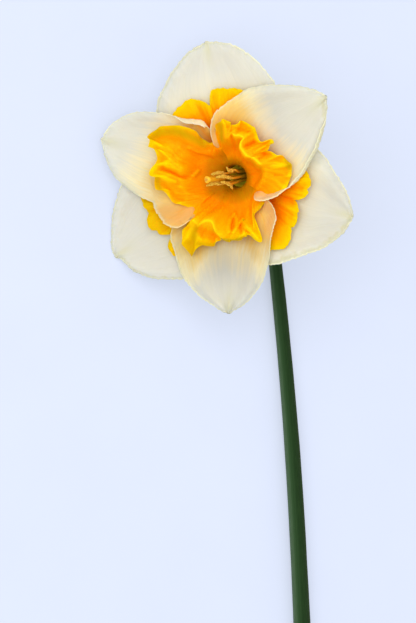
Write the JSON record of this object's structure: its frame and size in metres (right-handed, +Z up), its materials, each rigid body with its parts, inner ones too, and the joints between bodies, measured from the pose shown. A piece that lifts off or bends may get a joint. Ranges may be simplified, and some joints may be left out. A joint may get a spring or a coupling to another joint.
{
  "type": "daffodil flower",
  "caption": "Cut split-corona daffodil lying on its stem, face up: white petals behind a ruffled orange and yellow corona round a green throat.",
  "frame": {"origin": "middle of the part's bounding box, on the surface that the flower lies on", "axes": "+Z up from the surface; the stem runs along -Y to its cut end, and the flower at the +Y end faces up and to the left, towards -X"},
  "size_m": [0.0922, 0.3018, 0.0677],
  "materials": {
    "tepals": "satin",
    "corona_outer": "satin",
    "corona_inner": "satin",
    "stem": "satin",
    "neck": "satin",
    "spathe": "matte",
    "filaments": "satin",
    "anthers": "matte",
    "style": "satin"
  },
  "bodies": {
    "root": {"stem": "stem", "neck": "neck", "spathe": "spathe", "sepal_top": "tepals", "sepal_left": "tepals", "sepal_right": "tepals", "corona_outer_top": "corona_outer", "corona_outer_left": "corona_outer", "corona_outer_right": "corona_outer", "petal_upper": "tepals", "petal_left": "tepals", "petal_lower": "tepals", "corona_inner_upper": "corona_inner", "corona_inner_left": "corona_inner", "corona_inner_lower": "corona_inner", "filament_1": "filaments", "filament_2": "filaments", "filament_3": "filaments", "filament_4": "filaments", "filament_5": "filaments", "filament_6": "filaments", "anther_1": "anthers", "anther_2": "anthers", "anther_3": "anthers", "anther_4": "anthers", "anther_5": "anthers", "anther_6": "anthers", "style": "style"}
  },
  "joints": []
}
